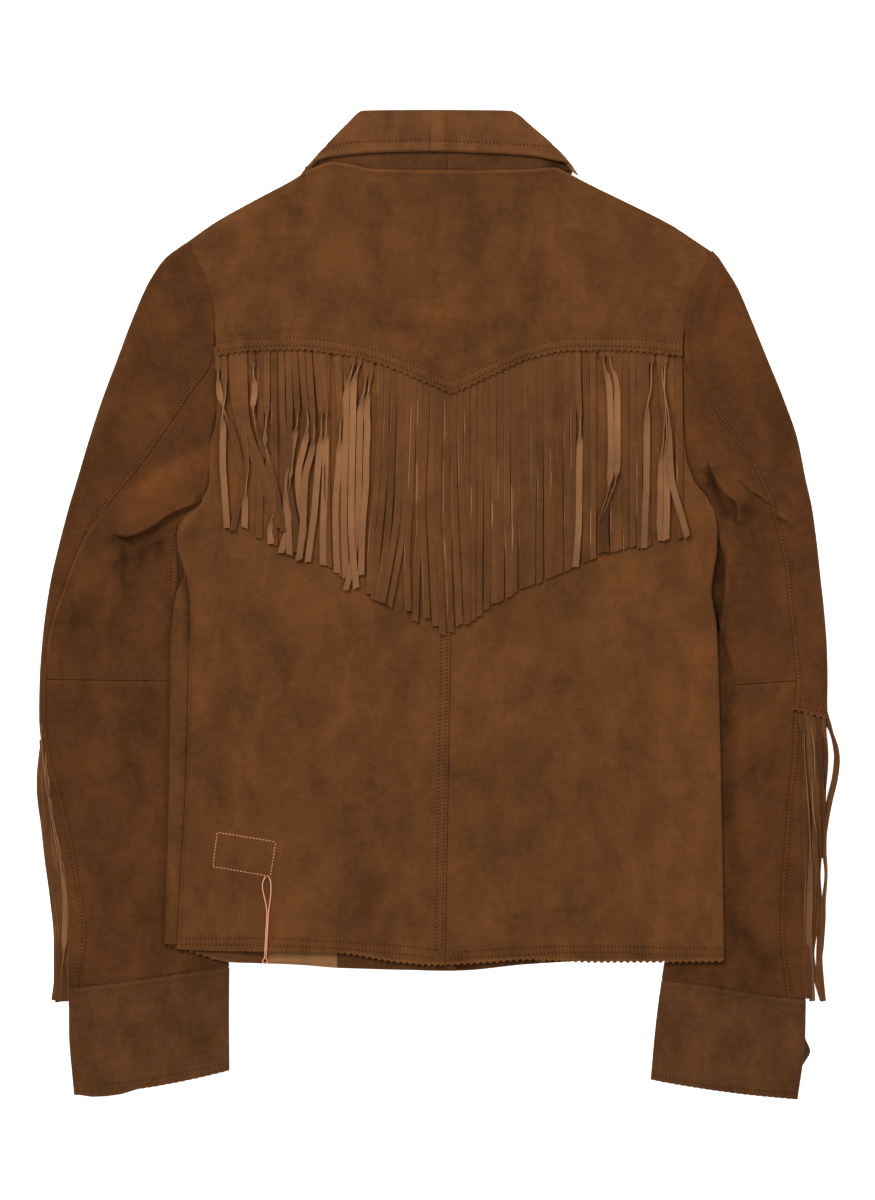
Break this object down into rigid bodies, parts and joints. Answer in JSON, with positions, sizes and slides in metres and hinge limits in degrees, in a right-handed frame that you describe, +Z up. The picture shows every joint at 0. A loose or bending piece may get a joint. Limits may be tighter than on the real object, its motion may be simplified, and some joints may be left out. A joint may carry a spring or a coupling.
{
  "type": "fringed suede western jacket laid flat",
  "caption": "Slim suede western jacket laid flat on its front, back up: pointed back yoke with hanging fringe, shirt collar, fringed sleeves that pass under the body, and plain cuffs.",
  "frame": {"origin": "centre of the bottom of the laid jacket's box, on the surface it lies on", "axes": "+Y up the body towards the collar, +X towards the wearer's right sleeve, +Z up out of the surface, through the jacket's back"},
  "size_m": [0.6356, 0.7904, 0.0108],
  "materials": {
    "suede_body": "napped brown suede, matt with a soft sheen",
    "suede_fringe": "napped brown suede cut into strips, light tan on the reverse",
    "suede_facing": "darker brown napped suede",
    "thread_salmon": "salmon sewing thread"
  },
  "bodies": {
    "root": {"back_yoke": "suede_body", "back_panel_left": "suede_body", "back_panel_right": "suede_body", "back_fringe": "suede_fringe", "front_left": "suede_body", "front_right": "suede_body", "front_facing_left": "suede_facing", "front_facing_right": "suede_facing", "collar_fall": "suede_body", "collar_stand": "suede_body", "sleeve_top_upper_left": "suede_body", "sleeve_top_lower_left": "suede_body", "sleeve_under_upper_left": "suede_body", "sleeve_under_lower_left": "suede_body", "sleeve_fringe_left": "suede_fringe", "cuff_left": "suede_body", "sleeve_top_upper_right": "suede_body", "sleeve_top_lower_right": "suede_body", "sleeve_under_upper_right": "suede_body", "sleeve_under_lower_right": "suede_body", "sleeve_fringe_right": "suede_fringe", "cuff_right": "suede_body", "loose_thread": "thread_salmon"}
  },
  "joints": []
}
